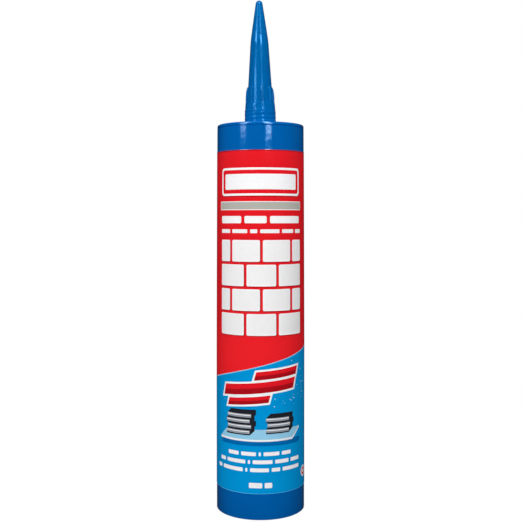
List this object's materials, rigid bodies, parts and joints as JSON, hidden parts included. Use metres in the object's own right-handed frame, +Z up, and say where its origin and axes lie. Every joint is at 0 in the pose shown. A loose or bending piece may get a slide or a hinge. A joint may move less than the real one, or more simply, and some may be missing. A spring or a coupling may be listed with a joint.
{
  "type": "caulk tube",
  "caption": "Plastic caulk cartridge with a printed label, a tapered screw-on nozzle with a ribbed collar, and a sliding rear piston behind the filling.",
  "frame": {"origin": "centre of the open rear rim, on the surface that the tube stands on", "axes": "+Z up the cartridge to the nozzle's tip, -Y the front of the label"},
  "size_m": [0.0506, 0.0507, 0.2908],
  "materials": {
    "barrel_plastic": "satin moulded polyethylene",
    "nozzle_plastic": "satin moulded polyethylene",
    "foil": "bright foil",
    "piston_plastic": "natural moulded polyethylene",
    "adhesive": "thick off-white paste",
    "label_film": "printed film, satin"
  },
  "bodies": {
    "barrel": {"cartridge": "barrel_plastic", "label": "label_film", "seal_foil": "foil", "adhesive": "adhesive"},
    "nozzle": {"nozzle": "nozzle_plastic"},
    "piston": {"piston": "piston_plastic"}
  },
  "joints": [
    {"name": "nozzle_unscrew", "type": "slide", "parent": "barrel", "child": "nozzle", "axis": [0, 0, 1], "range_m": [0, 0.03]},
    {"name": "piston_slide", "type": "slide", "parent": "barrel", "child": "piston", "axis": [0, 0, 1], "range_m": [0, 0.155], "deforming": ["adhesive"]}
  ]
}
